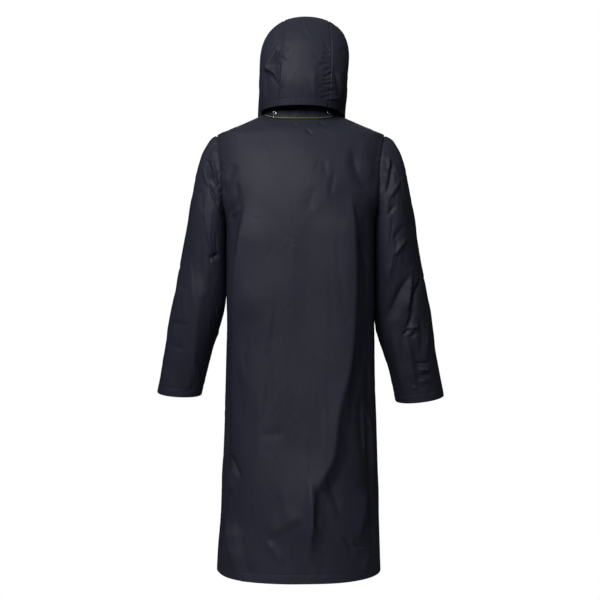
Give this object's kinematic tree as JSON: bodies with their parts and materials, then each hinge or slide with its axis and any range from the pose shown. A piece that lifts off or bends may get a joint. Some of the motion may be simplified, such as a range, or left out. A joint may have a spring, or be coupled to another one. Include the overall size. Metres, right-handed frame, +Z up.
{
  "type": "hooded raincoat",
  "caption": "Full-length hooded raincoat filled out as worn with the hood up: hollow cloth body, sleeves, collar stand and three-piece hood, with neck piping and press studs.",
  "frame": {"origin": "middle of the neck, level with the inner ends of the shoulder seams, where the wearer's neck and shoulders hold the coat", "axes": "+Z up, -Y the way the wearer faces, +Y out of the coat's back, +X towards the wearer's left sleeve"},
  "size_m": [0.802, 0.4, 1.5143],
  "materials": {
    "shell_cloth": "coated dark navy woven cloth with a soft sheen",
    "collar_cloth": "the same cloth, darker and matt",
    "piping": "yellow-green piping cord with a satin sheen",
    "snap_metal": "nickel-plated press studs"
  },
  "bodies": {
    "root": {"back": "shell_cloth", "front_left": "shell_cloth", "front_right": "shell_cloth", "sleeve_left": "shell_cloth", "sleeve_right": "shell_cloth", "collar_stand": "collar_cloth", "hood_centre": "shell_cloth", "hood_side_left": "shell_cloth", "hood_side_right": "shell_cloth", "neck_piping": "piping", "snap_hood_left": "snap_metal", "snap_hood_right": "snap_metal", "stud_neck_left": "snap_metal", "stud_neck_right": "snap_metal", "snap_front_1": "snap_metal", "snap_front_2": "snap_metal", "snap_front_3": "snap_metal", "snap_front_4": "snap_metal", "snap_front_5": "snap_metal", "snap_front_6": "snap_metal", "snap_front_7": "snap_metal", "snap_collar": "snap_metal"}
  },
  "joints": []
}
